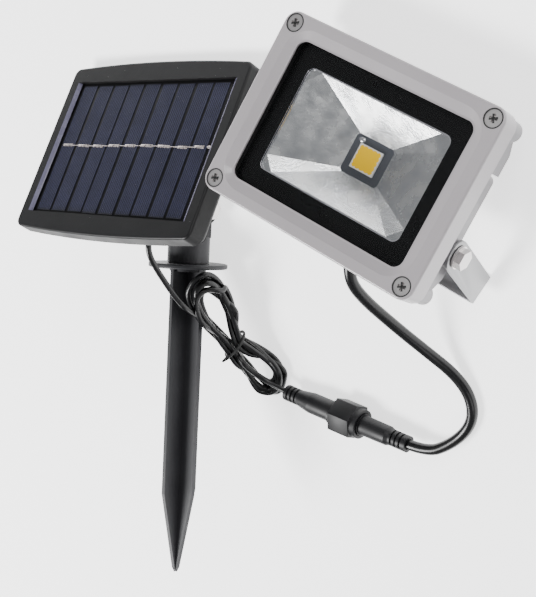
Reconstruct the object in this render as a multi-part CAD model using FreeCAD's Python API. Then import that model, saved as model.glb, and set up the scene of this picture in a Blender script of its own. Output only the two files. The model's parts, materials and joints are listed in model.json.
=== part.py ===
"""Solar flood light: a 10 W lamp on a U bracket, its leads and plug, and a solar panel on a stake."""
import FreeCAD, Part
import math
import os

V = FreeCAD.Vector
X, Y, Z = V(1, 0, 0), V(0, 1, 0), V(0, 0, 1)

# ---- driving dimensions, millimetres and degrees --------------------------------------------
# The lamp is drawn face up: x along its long side, y up its face, z out of the glass, z = 0 at
# the front of the frame.
LAMP_W, LAMP_H, LAMP_R = 114.0, 85.0, 6.0      # front frame outline and corner radius
FRAME_DEPTH, FRAME_EDGE_R = 12.0, 1.1
GLASS_W, GLASS_H, GLASS_R = 92.2, 65.0, 4.5    # opening that the glass is seen through
GLASS_RECESS, GLASS_T = 2.5, 3.0
POCKET_W, POCKET_H, POCKET_R = 97.0, 69.8, 5.5  # room behind the lip for the glass
SLOPE_W, SLOPE_H, SLOPE_R, SLOPE_DROP = 102.0, 74.8, 12.0, 1.5   # where the face starts to slope in
LIP_STEP = 0.8                                 # ledge between the slope and the opening
SCREW_X, SCREW_Y = 51.4, 37.2                  # front frame screws
SCREW_HEAD_R, SCREW_HEAD_T, SCREW_R = 3.7, 2.2, 1.6
SEAL_T = 1.0                                   # every flat rubber gasket
REFL_W, REFL_H, REFL_CUT = 75.0, 47.0, 6.0     # reflector mouth and its corner facets
LED_W, LED_H, LED_CUT = 20.0, 18.0, 1.2        # reflector throat round the light source
REFL_TOP, REFL_BOTTOM, SHEET_T = -7.0, -20.0, 0.8
PLATE_W, PLATE_H, PLATE_T = 28.0, 26.0, 1.6    # metal plate under the light source
CHIP_W, CHIP_H, CHIP_T = 12.2, 11.2, 0.9
CHIP_RIM, CHIP_WELL = 1.0, 0.5                 # border round the yellow face, and its depth
PLATE_SCREW_X, PLATE_SCREW_HEAD_R, PLATE_SCREW_R = 12.2, 1.6, 1.1
BODY_W, BODY_H, BODY_R = 105.0, 79.0, 5.0      # rear casting where it meets the frame
CAVITY_W, CAVITY_H = 90.0, 64.0
BODY_BACK, BODY_WALL, BODY_TAPER = -29.0, 4.0, 3.0
LUG_CORNER_R, LUG_CORNER_L = 4.4, 9.0          # screw lugs at the casting's corners
BOSS_R, BOSS_IN, BOLT_DEPTH = 6.5, 45.5, 8.6   # side bosses that the bracket bolts go into
FIN_T, FIN_DEPTH, FIN_COUNT = 1.8, 9.0, 11
FIN_SLANT_Y, FIN_SLANT_DEPTH = 29.0, 3.8       # where a fin starts to slant, and its depth at the end
BOX_W, BOX_TOP, BOX_LOW, BOX_BACK = 89.6, 18.6, -15.0, -46.4   # driver box behind the body
BOX_WALL, BOX_R = 2.2, 3.0
GLAND_X, GLAND_Z = 4.5, -37.0
PIVOT_Y, PIVOT_Z = -17.2, -27.0                # bracket bolts, one at each side
STRAP_IN, STRAP_T, STRAP_W = 53.0, 1.6, 14.0   # strap position, sheet thickness and width
BRACKET_REACH, BRACKET_LEAN = 44.4, 12.6       # pivot to the back of the crossbar, and its lean
BOLT_R = 2.5
FIT = 0.05                                     # radial clearance of a pin that turns
CROSS_HOLE_R, SIDE_HOLE_R, SIDE_HOLE_X = 3.25, 2.25, 30.0

# The panel is drawn face up: x along its width, y up its face, z out of the cells.
PANEL_W, PANEL_H, PANEL_BOW = 132.6, 91.2, 2.5
PANEL_R = 4.0
SHELL_FRONT, SHELL_BACK = -8.0, -14.0          # joint between the shells, and the back
REAR_INSET, REAR_EDGE_R = 2.7, 3.2             # the rear shell is a little smaller
REAR_LIP_INSET, REAR_LIP_T = 0.6, 1.2          # rim of the rear shell at the joint
PANEL_WALL = 2.4
WINDOW_W, WINDOW_H = 115.4, 74.6
WINDOW_CHAMFER = 2.2
BOARD_W, BOARD_H = 118.0, 76.6
CELL_COUNT, CELL_PITCH, CELL_W, CELL_H, CELL_T = 9, 12.45, 11.0, 71.6, 0.2
COVER_TOP, COVER_T, BOARD_T = -1.4, 0.8, 1.6
HUMP_W, HUMP_LOW, HUMP_HIGH, HUMP_BACK = 76.0, -26.0, 28.2, -31.0
HUMP_R, HUMP_EDGE_R = 6.0, 4.2
LEAD_X, LEAD_Z = 15.0, -21.0                   # where the thin lead leaves the hump's lower wall
CELL18_R, CELL18_L = 9.2, 65.0                 # one round lithium cell
PANEL_PIVOT_Y, PANEL_PIVOT_Z = -9.1, -52.0     # hinge axis behind the panel
STAKE_LEAN = 23.8                              # stake from the panel's own plane, as it lies
LUG_R, LUG_IN, LUG_T = 8.0, 9.0, 3.4
HINGE_R = 3.0

# The stake is drawn below its hinge: the hinge axis along x at the origin, the stake along -y.
TUBE_R, TUBE_BORE, TUBE_TOP = 10.95, 8.5, -14.0
FLANGE_Y, FLANGE_R, FLANGE_T = -29.7, 20.6, 2.4
SPIKE_LEN, BLADE_W, BLADE_T = 163.0, 22.2, 2.2
SHOULDER, TIP_W = 0.735, 3.4                   # where the blades start to narrow, and the point
SPIGOT_L = 13.0
GAP = 0.4                                      # air between faces that move past each other

# Where the pieces lie on the table, measured from the point under the lamp's face centre.
LAMP_YAW, LAMP_TILT, LAMP_Z = -24.4, -33.4, 49.0
PANEL_AT, PANEL_TILT = V(-149.8, -3.2, 40.4), -44.1
TABLE = V(75.72, 86.71, -0.05)                       # from there to the middle of the whole part

# Leads.
CABLE_R, LEAD_R = 2.75, 1.5
PLUG_FROM, PLUG_TO = V(-107.9, -146.1, 8.4), V(-31.4, -162.4, 8.4)
CABLE_ROUTE = [(-16.4, -47.0, 37.4), (-19.0, -55.6, 40.0), (-20.3, -65.2, 39.0),
               (-19.2, -75.6, 33.0), (-16.6, -87.0, 25.0), (-12.8, -98.8, 17.0),
               (-7.6, -110.4, 9.6), (0.2, -121.2, 4.6), (5.8, -131.4, 2.8),
               (6.6, -142.4, 2.8), (1.0, -152.2, 3.0), (-8.8, -159.9, 5.6),
               (-19.9, -164.4, 8.2)]
LEAD_ROUTE = [(-134.8, -45.4, 52.1), (-135.3, -50.0, 54.2), (-136.0, -55.6, 53.8),
              (-136.4, -63.2, 51.2), (-136.0, -71.8, 48.0), (-134.4, -80.0, 45.4),
              (-131.6, -87.0, 43.0)]
TAIL_ROUTE = [(-127.0, -126.4, 18.6), (-124.2, -134.6, 14.0), (-117.8, -141.6, 9.8)]
# Left and right edges of the hank of thin lead, from its upper loops to its lower ones.
HANK_EDGES = [((-129.4, -75.0, 35.0), (-123.6, -72.4, 27.0)),
              ((-136.6, -81.6, 39.5), (-124.0, -80.6, 18.0)),
              ((-136.6, -95.2, 36.5), (-124.4, -95.6, 14.0)),
              ((-136.6, -108.3, 28.5), (-126.4, -106.0, 12.0)),
              ((-136.4, -122.6, 19.5), (-128.3, -114.3, 11.0)),
              ((-136.6, -140.0, 13.0), (-116.0, -122.0, 5.4)),
              ((-134.6, -151.8, 6.0), (-109.4, -134.0, 3.8)),
              ((-127.0, -154.6, 2.8), (-114.6, -147.0, 2.8))]
HANK_HALF_T = (3.6, 4.6, 4.8, 5.0, 5.2, 4.6, 3.6, 2.6)   # half the thickness at each pair
TIE_AT, TIE_W, TIE_T = 4, 2.6, 0.9             # hank section that the tie goes round, and its strip

PARTS = {}


# ---- shape helpers --------------------------------------------------------------------------
def box(x0, x1, y0, y1, z0, z1):
    return Part.makeBox(x1 - x0, y1 - y0, z1 - z0, V(x0, y0, z0))


def rod(start, direction, radius, length):
    return Part.makeCylinder(radius, length, start, direction)


def extrude(wire, z0, z1):
    face = Part.Face(wire)
    face.translate(V(0, 0, z0))
    return face.extrude(V(0, 0, z1 - z0))


def rounded(width, height, radius, z0, z1, cy=0.0):
    """A plate with round corners, centred on x = 0 and y = cy."""
    plate = box(-width / 2, width / 2, cy - height / 2, cy + height / 2, z0, z1)
    corners = [e for e in plate.Edges if abs(e.tangentAt(e.FirstParameter).z) > 0.9]
    return plate.makeFillet(radius, corners)


def funnel(front, back):
    """A solid between two round-cornered outlines: each is (width, height, radius, z)."""
    wires = []
    for width, height, radius, z in (front, back):
        plate = rounded(width, height, radius, z, z + 1)
        face = [f for f in plate.Faces if abs(f.CenterOfMass.z - z) < 0.01][0]
        wires.append(face.OuterWire)
    return Part.makeLoft(wires, True, True)


def bowed(inset, z0, z1, radius):
    """The panel's outline: straight sides, and a top and bottom that bow outward."""
    half_w, half_h = PANEL_W / 2 - inset, PANEL_H / 2 - inset
    bow = PANEL_BOW
    a, b, c, d = V(-half_w, -half_h), V(half_w, -half_h), V(half_w, half_h), V(-half_w, half_h)
    edges = [Part.Arc(a, V(0, -half_h - bow), b).toShape(), Part.makeLine(b, c),
             Part.Arc(c, V(0, half_h + bow), d).toShape(), Part.makeLine(d, a)]
    plate = extrude(Part.Wire(edges), z0, z1)
    corners = [e for e in plate.Edges if abs(e.tangentAt(e.FirstParameter).z) > 0.9]
    return plate.makeFillet(radius, corners)


def edges_at(shape, z, tol=0.01):
    """The edges that lie wholly at one height."""
    return [e for e in shape.Edges if abs(e.BoundBox.ZMin - z) < tol and abs(e.BoundBox.ZMax - z) < tol]


def cut_rect(width, height, cut, z):
    """A rectangle with its corners cut off, as a closed wire."""
    w, h = width / 2, height / 2
    points = [V(-w + cut, -h, z), V(w - cut, -h, z), V(w, -h + cut, z), V(w, h - cut, z),
              V(w - cut, h, z), V(-w + cut, h, z), V(-w, h - cut, z), V(-w, -h + cut, z)]
    return Part.makePolygon(points + points[:1])


def hexagon(across_flats, start, direction, length):
    """A hexagonal prism with a flat side down."""
    reach = across_flats / 2 / math.cos(math.pi / 6)
    side = direction.cross(Z).normalize() if abs(direction.z) < 0.9 else X
    up = side.cross(direction).normalize()
    corners = []
    for k in range(6):
        angle = math.radians(60 * k)
        corners.append(start + side * (reach * math.cos(angle)) + up * (reach * math.sin(angle)))
    return Part.Face(Part.makePolygon(corners + corners[:1])).extrude(direction * length)


def turned(profile, start, direction):
    """A solid of revolution: profile gives (distance along the axis, radius) pairs."""
    points = [V(r, 0, s) for s, r in profile]
    points = [V(0, 0, profile[0][0])] + points + [V(0, 0, profile[-1][0])]
    solid = Part.Face(Part.makePolygon(points + points[:1])).revolve(V(0, 0, 0), Z, 360)
    solid.Placement = FreeCAD.Placement(start, FreeCAD.Rotation(Z, direction))
    return solid


def cross_recess(centre, size, depth):
    """The cross slot of a screw, cut down from its head."""
    arm = size * 0.22
    one = box(centre.x - size, centre.x + size, centre.y - arm, centre.y + arm,
              centre.z - depth, centre.z + 1)
    two = box(centre.x - arm, centre.x + arm, centre.y - size, centre.y + size,
              centre.z - depth, centre.z + 1)
    return one.fuse(two)


def front_screw(centre, head_r, head_t, shank_r, length):
    """A countersunk cross-head screw that points down its own z axis."""
    head = Part.makeCone(shank_r, head_r, head_t, centre - Z * head_t)
    shank = Part.makeCylinder(shank_r, length, centre - Z * (head_t + length))
    return head.fuse(shank).cut(cross_recess(centre, head_r * 0.5, head_t * 0.6)).removeSplitter()


def countersink(point, head_r, head_t, shank_r, depth):
    """The hole that a countersunk screw drops into."""
    seat = Part.makeCone(shank_r, head_r, head_t, point - Z * head_t)
    return seat.fuse(rod(point, -Z, shank_r, depth)).fuse(rod(point, Z, head_r, 1))


def arc_route(points):
    """Straight runs joined by tangent arcs, and the arc radii."""
    edges, radii = [], []
    start = points[0]
    for before, corner, after in zip(points, points[1:], points[2:]):
        run_in, run_out = corner - before, after - corner
        shorter = min(run_in.Length, run_out.Length)
        half_turn = run_in.getAngle(run_out) / 2
        back = 0.45 * shorter
        first = corner - V(run_in).normalize() * back
        last = corner + V(run_out).normalize() * back
        radii.append(back / math.tan(half_turn))
        chord = (first + last) * 0.5
        inward = V(chord - corner).normalize()
        reach = math.hypot(radii[-1], back) - radii[-1]
        edges.append(Part.LineSegment(start, first).toShape())
        edges.append(Part.Arc(first, corner + inward * reach, last).toShape())
        start = last
    edges.append(Part.LineSegment(start, points[-1]).toShape())
    return Part.Wire(edges), radii


def cord(name, points, radius):
    """A round cord along a route, with its radii printed and its volume compared."""
    path, radii = arc_route(points)
    circle = Part.Wire(Part.Circle(points[0], points[1] - points[0], radius).toShape())
    solid = path.makePipeShell([circle], True, False)
    ideal = math.pi * radius ** 2 * path.Length
    print(name, "length %.1f" % path.Length, "radii", [round(r, 1) for r in radii],
          "volume ratio %.4f" % (solid.Volume / ideal))
    return solid


def keep(name, *solids):
    """Files one or more solids under a node name."""
    PARTS[name] = solids[0] if len(solids) == 1 else Part.makeCompound(list(solids))


# ---- lamp -----------------------------------------------------------------------------------
def corner_points(x, y, z=0.0):
    return [V(sx * x, sy * y, z) for sx in (-1, 1) for sy in (-1, 1)]


def make_lamp_front():
    frame = rounded(LAMP_W, LAMP_H, LAMP_R, -FRAME_DEPTH, 0)
    frame = frame.makeFillet(FRAME_EDGE_R, edges_at(frame, 0))
    ledge_w, ledge_h = GLASS_W + 2 * LIP_STEP, GLASS_H + 2 * LIP_STEP
    slope = funnel((SLOPE_W, SLOPE_H, SLOPE_R, 0), (ledge_w, ledge_h, GLASS_R + LIP_STEP, -SLOPE_DROP))
    frame = frame.cut(slope).cut(rounded(GLASS_W, GLASS_H, GLASS_R, -FRAME_DEPTH - 1, 1))
    frame = frame.cut(rounded(POCKET_W, POCKET_H, POCKET_R, -FRAME_DEPTH - 1, -GLASS_RECESS))
    for point in corner_points(SCREW_X, SCREW_Y):
        frame = frame.cut(countersink(point, SCREW_HEAD_R + 0.3, SCREW_HEAD_T, SCREW_R, FRAME_DEPTH + 1))
    keep("lamp_front_frame", frame)
    keep("frame_screws", *[front_screw(p - Z * 0.2, SCREW_HEAD_R, SCREW_HEAD_T - 0.2, SCREW_R, 14.0)
                           for p in corner_points(SCREW_X, SCREW_Y)])
    glass_back = -GLASS_RECESS - GLASS_T
    keep("lamp_glass", rounded(POCKET_W, POCKET_H, POCKET_R, glass_back, -GLASS_RECESS))
    ring = rounded(POCKET_W, POCKET_H, POCKET_R, glass_back - SEAL_T, glass_back)
    keep("glass_gasket", ring.cut(rounded(93, 65.8, 4, glass_back - SEAL_T - 1, 0)))


def make_light_source():
    """Faceted reflector, the metal plate under it, and the chip with its yellow face."""
    outer = Part.makeLoft([cut_rect(REFL_W + 2 * SHEET_T, REFL_H + 2 * SHEET_T, REFL_CUT, REFL_TOP),
                           cut_rect(LED_W + 2 * SHEET_T, LED_H + 2 * SHEET_T, LED_CUT, REFL_BOTTOM)],
                          True, True)
    inner = Part.makeLoft([cut_rect(REFL_W, REFL_H, REFL_CUT, REFL_TOP),
                           cut_rect(LED_W, LED_H, LED_CUT, REFL_BOTTOM)], True, True)
    rim_top = -GLASS_RECESS - GLASS_T - SEAL_T
    rim = rounded(96, 68.8, 5, REFL_TOP, rim_top)
    rim = rim.cut(extrude(cut_rect(REFL_W, REFL_H, REFL_CUT, 0), REFL_TOP - 1, 0))
    keep("reflector", outer.cut(inner).fuse(rim).removeSplitter())
    keep_light_source()


def plate_screw_points():
    return [V(side * PLATE_SCREW_X, 0, REFL_BOTTOM) for side in (-1, 1)]


def keep_light_source():
    plate = box(-PLATE_W / 2, PLATE_W / 2, -PLATE_H / 2, PLATE_H / 2, REFL_BOTTOM - PLATE_T, REFL_BOTTOM)
    screws = []
    for point in plate_screw_points():
        plate = plate.cut(countersink(point, PLATE_SCREW_HEAD_R, 1.0, PLATE_SCREW_R, 4))
        screws.append(front_screw(point, PLATE_SCREW_HEAD_R, 1.0, PLATE_SCREW_R, 3.0))
    keep("led_plate", plate)
    keep("led_plate_screws", *screws)
    face_w, face_h = CHIP_W / 2 - CHIP_RIM, CHIP_H / 2 - CHIP_RIM
    top = REFL_BOTTOM + CHIP_T
    chip = box(-CHIP_W / 2, CHIP_W / 2, -CHIP_H / 2, CHIP_H / 2, REFL_BOTTOM, top)
    keep("led_chip_frame", chip.cut(box(-face_w, face_w, -face_h, face_h, top - CHIP_WELL, top + 1)))
    keep("led_phosphor", box(-face_w, face_w, -face_h, face_h, top - CHIP_WELL, top - 0.1))


def fin_outline(low, high):
    """One cooling fin seen from the side, cut at a slant where it nears the casting's end."""
    back = BODY_BACK - FIN_DEPTH
    near, far = sorted((low, high), key=abs)
    side = math.copysign(1, far)
    points = [(near, BODY_BACK + 1), (near, back), (side * FIN_SLANT_Y, back),
              (far, BODY_BACK - FIN_SLANT_DEPTH), (far, BODY_BACK + 1)]
    points = [V(0, y, z) for y, z in points]
    return Part.Face(Part.makePolygon(points + points[:1]))


def add_fins(body):
    spacing = (BOX_W + 6) / (FIN_COUNT - 1)
    rear_half = BODY_H / 2 - BODY_TAPER
    for k in range(FIN_COUNT):
        x = -(BOX_W + 6) / 2 + k * spacing
        for low, high in ((-rear_half, BOX_LOW - 0.6), (BOX_TOP + 0.6, rear_half)):
            fin = fin_outline(low, high).extrude(X * FIN_T)
            fin.translate(X * (x - FIN_T / 2))
            if abs(x - GLAND_X) > 9 or high > 0:
                body = body.fuse(fin)
    return body


def make_lamp_body():
    seal_back = -FRAME_DEPTH - SEAL_T
    seal = rounded(BODY_W, BODY_H, BODY_R, seal_back, -FRAME_DEPTH)
    back_w, back_h = BODY_W - 2 * BODY_TAPER, BODY_H - 2 * BODY_TAPER
    body = funnel((BODY_W, BODY_H, BODY_R, seal_back), (back_w, back_h, BODY_R, BODY_BACK))
    for point in corner_points(SCREW_X, SCREW_Y):
        body = body.fuse(rod(V(point.x, point.y, seal_back), -Z, LUG_CORNER_R, LUG_CORNER_L))
        seal = seal.fuse(rod(V(point.x, point.y, -FRAME_DEPTH), -Z, LUG_CORNER_R, SEAL_T))
    seal = seal.cut(rounded(CAVITY_W + 4, CAVITY_H + 4, BODY_R, seal_back - 1, 0))
    cavity = rounded(CAVITY_W, CAVITY_H, BODY_R, BODY_BACK + BODY_WALL, seal_back + 1)
    pad = box(-18, 18, -15, 15, BODY_BACK + BODY_WALL, REFL_BOTTOM - PLATE_T)
    body = add_fins(body.cut(cavity).fuse(pad))
    for side in (-1, 1):
        boss = rod(V(side * BOSS_IN, PIVOT_Y, PIVOT_Z), X * side, BOSS_R, STRAP_IN - GAP - BOSS_IN)
        body = body.fuse(boss)
        body = body.cut(rod(V(side * STRAP_IN, PIVOT_Y, PIVOT_Z), X * -side, BOLT_R, BOLT_DEPTH - 2.4))
    for point in corner_points(SCREW_X, SCREW_Y):
        body = body.cut(rod(point - Z * 10, -Z, SCREW_R, 7.0))
        seal = seal.cut(rod(point - Z * 10, -Z, SCREW_R + 0.1, 7.0))
    for point in plate_screw_points():
        body = body.cut(rod(point, -Z, PLATE_SCREW_R, 4.2))
    body = body.cut(rod(V(-25, 0, BODY_BACK - 1), Z, 3.0, 8))
    for point in driver_screw_points():
        body = body.cut(rod(point + Z * 12, -Z, 1.5, 20))
    keep("lamp_body", body)
    keep("body_gasket", seal.removeSplitter())


def driver_screw_points():
    mid = (BOX_TOP + BOX_LOW) / 2
    half = (BOX_TOP - BOX_LOW) / 2 - 5.0
    return [V(sx * (BOX_W / 2 - 5.0), mid + sy * half, BOX_BACK + 16) for sx in (-1, 1) for sy in (-1, 1)]


def make_driver_box():
    height, mid = BOX_TOP - BOX_LOW, (BOX_TOP + BOX_LOW) / 2
    front = BODY_BACK - SEAL_T
    shell = rounded(BOX_W, height, BOX_R, BOX_BACK, front, mid)
    shell = shell.makeFillet(1.2, edges_at(shell, BOX_BACK))
    inner = rounded(BOX_W - 18, height - 2 * BOX_WALL, 1.5, BOX_BACK + BOX_WALL, front + 1, mid)
    shell = shell.cut(inner)
    seal = rounded(BOX_W, height, BOX_R, front, BODY_BACK, mid)
    seal = seal.cut(rounded(BOX_W - 18, height - 2 * BOX_WALL, 1.5, front - 1, 0, mid))
    screws = []
    for point in driver_screw_points():
        shell = shell.cut(rod(point + Z, -Z, 1.6, 20)).cut(rod(V(point.x, point.y, BOX_BACK + 2.2), -Z, 3.2, 4))
        seal = seal.cut(rod(point + Z * 4, -Z, 1.6, 8))
        head = V(point.x, point.y, BOX_BACK + 0.4)
        screw = rod(head, Z, 2.9, 1.8).fuse(rod(head, Z, 1.5, 21.0))
        slot = cross_recess(V(0, 0, 0), 1.6, 0.9)
        slot.rotate(V(0, 0, 0), X, 180)
        slot.translate(head)
        screws.append(screw.cut(slot))
    hole = rod(V(GLAND_X, BOX_LOW - 1, GLAND_Z), Y, 5.0, 6)
    keep("driver_box", shell.cut(hole))
    keep("driver_gasket", seal)
    keep("driver_screws", *screws)
    board_z = BOX_BACK + 6.0
    keep("driver_board", box(-32, 32, mid - 11, mid + 11, board_z, board_z + 1.6))
    keep("driver_components",
         box(-28, -14, mid - 7, mid + 7, board_z + 1.6, board_z + 10),
         rod(V(-4, mid + 4, board_z + 1.6), Z, 3.2, 7.5),
         rod(V(6, mid + 4, board_z + 1.6), Z, 3.2, 7.5),
         box(14, 26, mid - 6, mid + 6, board_z + 1.6, board_z + 7))


def make_gland():
    """Cable gland under the driver box: threaded body, rubber seal and domed cap."""
    start = V(GLAND_X, BOX_LOW, GLAND_Z)
    thread = rod(start + Y * 3.5, -Y, 5.0, 5.5)
    collar = hexagon(12.5, start, -Y, 2.6)
    body = thread.fuse(collar).fuse(rod(start, -Y, 5.0, 6.4))
    keep("gland_body", body.cut(rod(start + Y * 5, -Y, CABLE_R + 1.0, 13)))
    seal = rod(start + Y * 2, -Y, CABLE_R + 1.0, 11.4)
    keep("gland_seal", seal.cut(rod(start + Y * 3, -Y, CABLE_R, 14)))
    cap = turned([(2.6, 6.2), (7.0, 6.2), (9.6, 5.2), (11.0, 3.9)], start, -Y)
    bore = rod(start, -Y, 5.0, 6.4).fuse(rod(start, -Y, CABLE_R + 1.0, 12))
    keep("gland_cap", cap.cut(bore))


def make_bracket():
    """One bent strip: two straps, a crossbar, and the bolts that pin it to the body."""
    outer, reach, half = STRAP_IN + STRAP_T, BRACKET_REACH, STRAP_W / 2
    strip = box(-outer, outer, -half, half, -reach, 0)
    bends = [e for e in strip.Edges if abs(e.CenterOfMass.z + reach) < 0.01
             and abs(abs(e.CenterOfMass.x) - outer) < 0.01]
    strip = strip.makeFillet(2.6, bends)
    strip = strip.cut(box(-STRAP_IN, STRAP_IN, -half - 1, half + 1, -reach + STRAP_T, 1))
    for side in (-1, 1):
        end = rod(V(side * STRAP_IN, 0, 0), X * side, half, STRAP_T)
        strip = strip.fuse(end).cut(rod(V(side * 60, 0, 0), X * -side, BOLT_R + FIT, 20))
    strip = strip.cut(rod(V(0, 0, -reach - 1), Z, CROSS_HOLE_R, 5))
    for side in (-1, 1):
        strip = strip.cut(rod(V(side * SIDE_HOLE_X, 0, -reach - 1), Z, SIDE_HOLE_R, 5))
    strip = strip.removeSplitter()
    strip.rotate(V(0, 0, 0), X, -BRACKET_LEAN)
    strip.translate(V(0, PIVOT_Y, PIVOT_Z))
    keep("bracket", strip)
    bolts, washers = [], []
    for side in (-1, 1):
        face = V(side * (outer + GAP), PIVOT_Y, PIVOT_Z)
        ring = rod(face, X * side, 5.2, 0.9).cut(rod(face, X * side, BOLT_R, 0.9))
        washers.append(ring)
        head = hexagon(8.0, face + X * side * 0.9, X * side, 2.9)
        bolts.append(head.fuse(rod(face + X * side * 0.9, X * -side, BOLT_R, BOLT_DEPTH)))
    keep("bracket_bolts", *bolts)
    keep("bracket_washers", *washers)


# ---- solar panel ----------------------------------------------------------------------------
def make_panel_front():
    front = bowed(0, SHELL_FRONT, 0, PANEL_R)
    front = front.makeFillet(1.2, edges_at(front, 0))
    front = front.cut(bowed(PANEL_WALL, SHELL_FRONT - 1, COVER_TOP - COVER_T - BOARD_T, PANEL_R - 1.5))
    window = box(-WINDOW_W / 2, WINDOW_W / 2, -WINDOW_H / 2, WINDOW_H / 2, -4, 1)
    front = front.cut(window)
    bevel = []
    for side in (-1, 1):
        inner, outer = side * WINDOW_W / 2, side * (WINDOW_W / 2 + WINDOW_CHAMFER)
        tri = Part.makePolygon([V(inner, 0, COVER_TOP), V(inner, 0, 0.2), V(outer, 0, 0.2),
                                V(inner, 0, COVER_TOP)])
        bevel.append(Part.Face(tri).extrude(V(0, WINDOW_H, 0)))
        bevel[-1].translate(V(0, -WINDOW_H / 2, 0))
    for cut in bevel:
        front = front.cut(cut)
    seat = COVER_TOP - COVER_T
    front = front.cut(box(-BOARD_W / 2, BOARD_W / 2, -BOARD_H / 2, BOARD_H / 2, seat - BOARD_T - 1, seat))
    keep("panel_front_frame", front)
    cover = box(-WINDOW_W / 2, WINDOW_W / 2, -WINDOW_H / 2, WINDOW_H / 2, seat, COVER_TOP)
    cells = []
    for k in range(CELL_COUNT):
        x = (k - (CELL_COUNT - 1) / 2) * CELL_PITCH
        cells.append(box(x - CELL_W / 2, x + CELL_W / 2, -CELL_H / 2, CELL_H / 2, seat, seat + CELL_T))
        cover = cover.cut(cells[-1])
    keep("cell_cover", cover)
    keep("solar_cells", *cells)
    keep("cell_board", box(-BOARD_W / 2, BOARD_W / 2, -BOARD_H / 2, BOARD_H / 2, seat - BOARD_T, seat))


def shell_screw_points():
    return corner_points(PANEL_W / 2 - 7.5, PANEL_H / 2 - 7.0)


def make_panel_back():
    back = bowed(REAR_INSET, SHELL_BACK, SHELL_FRONT, PANEL_R)
    back = back.makeFillet(REAR_EDGE_R, edges_at(back, SHELL_BACK))
    back = back.fuse(bowed(REAR_LIP_INSET, SHELL_FRONT - REAR_LIP_T, SHELL_FRONT, PANEL_R))
    hump_h, hump_y = HUMP_HIGH - HUMP_LOW, (HUMP_HIGH + HUMP_LOW) / 2
    hump = rounded(HUMP_W, hump_h, HUMP_R, HUMP_BACK, SHELL_BACK + 1, hump_y)
    hump = hump.makeFillet(HUMP_EDGE_R, edges_at(hump, HUMP_BACK))
    back = back.fuse(hump)
    inside = bowed(REAR_INSET + PANEL_WALL, SHELL_BACK + PANEL_WALL, SHELL_FRONT + 1, PANEL_R - 1.5)
    back = back.cut(inside)
    back = back.cut(rounded(HUMP_W - 5, hump_h - 5, 4, HUMP_BACK + PANEL_WALL, SHELL_FRONT + 1, hump_y))
    screws = []
    for point in shell_screw_points():
        post = rod(V(point.x, point.y, SHELL_BACK), Z, 3.6, SHELL_FRONT - SHELL_BACK)
        back = back.fuse(post)
        seat = rod(V(point.x, point.y, SHELL_BACK - 1), Z, 2.9, 3.4)
        back = back.cut(seat).cut(rod(V(point.x, point.y, SHELL_BACK), Z, 1.3, 8))
        head = V(point.x, point.y, SHELL_BACK + 0.6)
        screws.append(rod(head, Z, 2.6, 1.8).fuse(rod(head, Z, 1.2, 7.4)))
    for x, y in hinge_screw_spots():
        back = back.cut(rod(V(x, y, HUMP_BACK - 1), Z, 1.5, 6))
    back = back.cut(rod(V(LEAD_X, HUMP_LOW - 1, LEAD_Z), Y, 3.0, 6))
    keep("panel_rear_shell", back.removeSplitter())
    keep("panel_screws", *screws)


def hinge_screw_spots():
    return [(sx * 16.5, PANEL_PIVOT_Y + sy * 8.0) for sx in (-1, 1) for sy in (-1, 1)]


def make_panel_inside():
    mid = (HUMP_HIGH + HUMP_LOW) / 2
    centre = V(-CELL18_L / 2, mid + 8, HUMP_BACK + PANEL_WALL + CELL18_R + 0.4)
    cell = rod(centre, X, CELL18_R, CELL18_L)
    keep("battery", cell.fuse(rod(centre + X * CELL18_L, X, 3.0, 1.2)))
    board_y = HUMP_LOW + 13
    board = box(-24, 24, board_y - 8, board_y + 8, HUMP_BACK + 6, HUMP_BACK + 7.6)
    keep("charge_board", board)
    top = HUMP_BACK + 7.6
    keep("charge_components", box(-18, -10, board_y - 4, board_y + 4, top, top + 3),
         rod(V(0, board_y, top), Z, 2.6, 6), box(8, 18, board_y - 3, board_y + 3, top, top + 2.4))
    start = V(LEAD_X, HUMP_LOW, LEAD_Z)
    bush = turned([(-3.6, 3.9), (-2.5, 3.9), (-2.5, 3.0), (0.0, 3.0), (0.0, 3.9), (1.4, 3.9),
                   (2.0, 3.2), (9.0, 2.3)], start, -Y)
    keep("lead_grommet", bush.cut(rod(start + Y * 5, -Y, LEAD_R, 16)))


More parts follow.
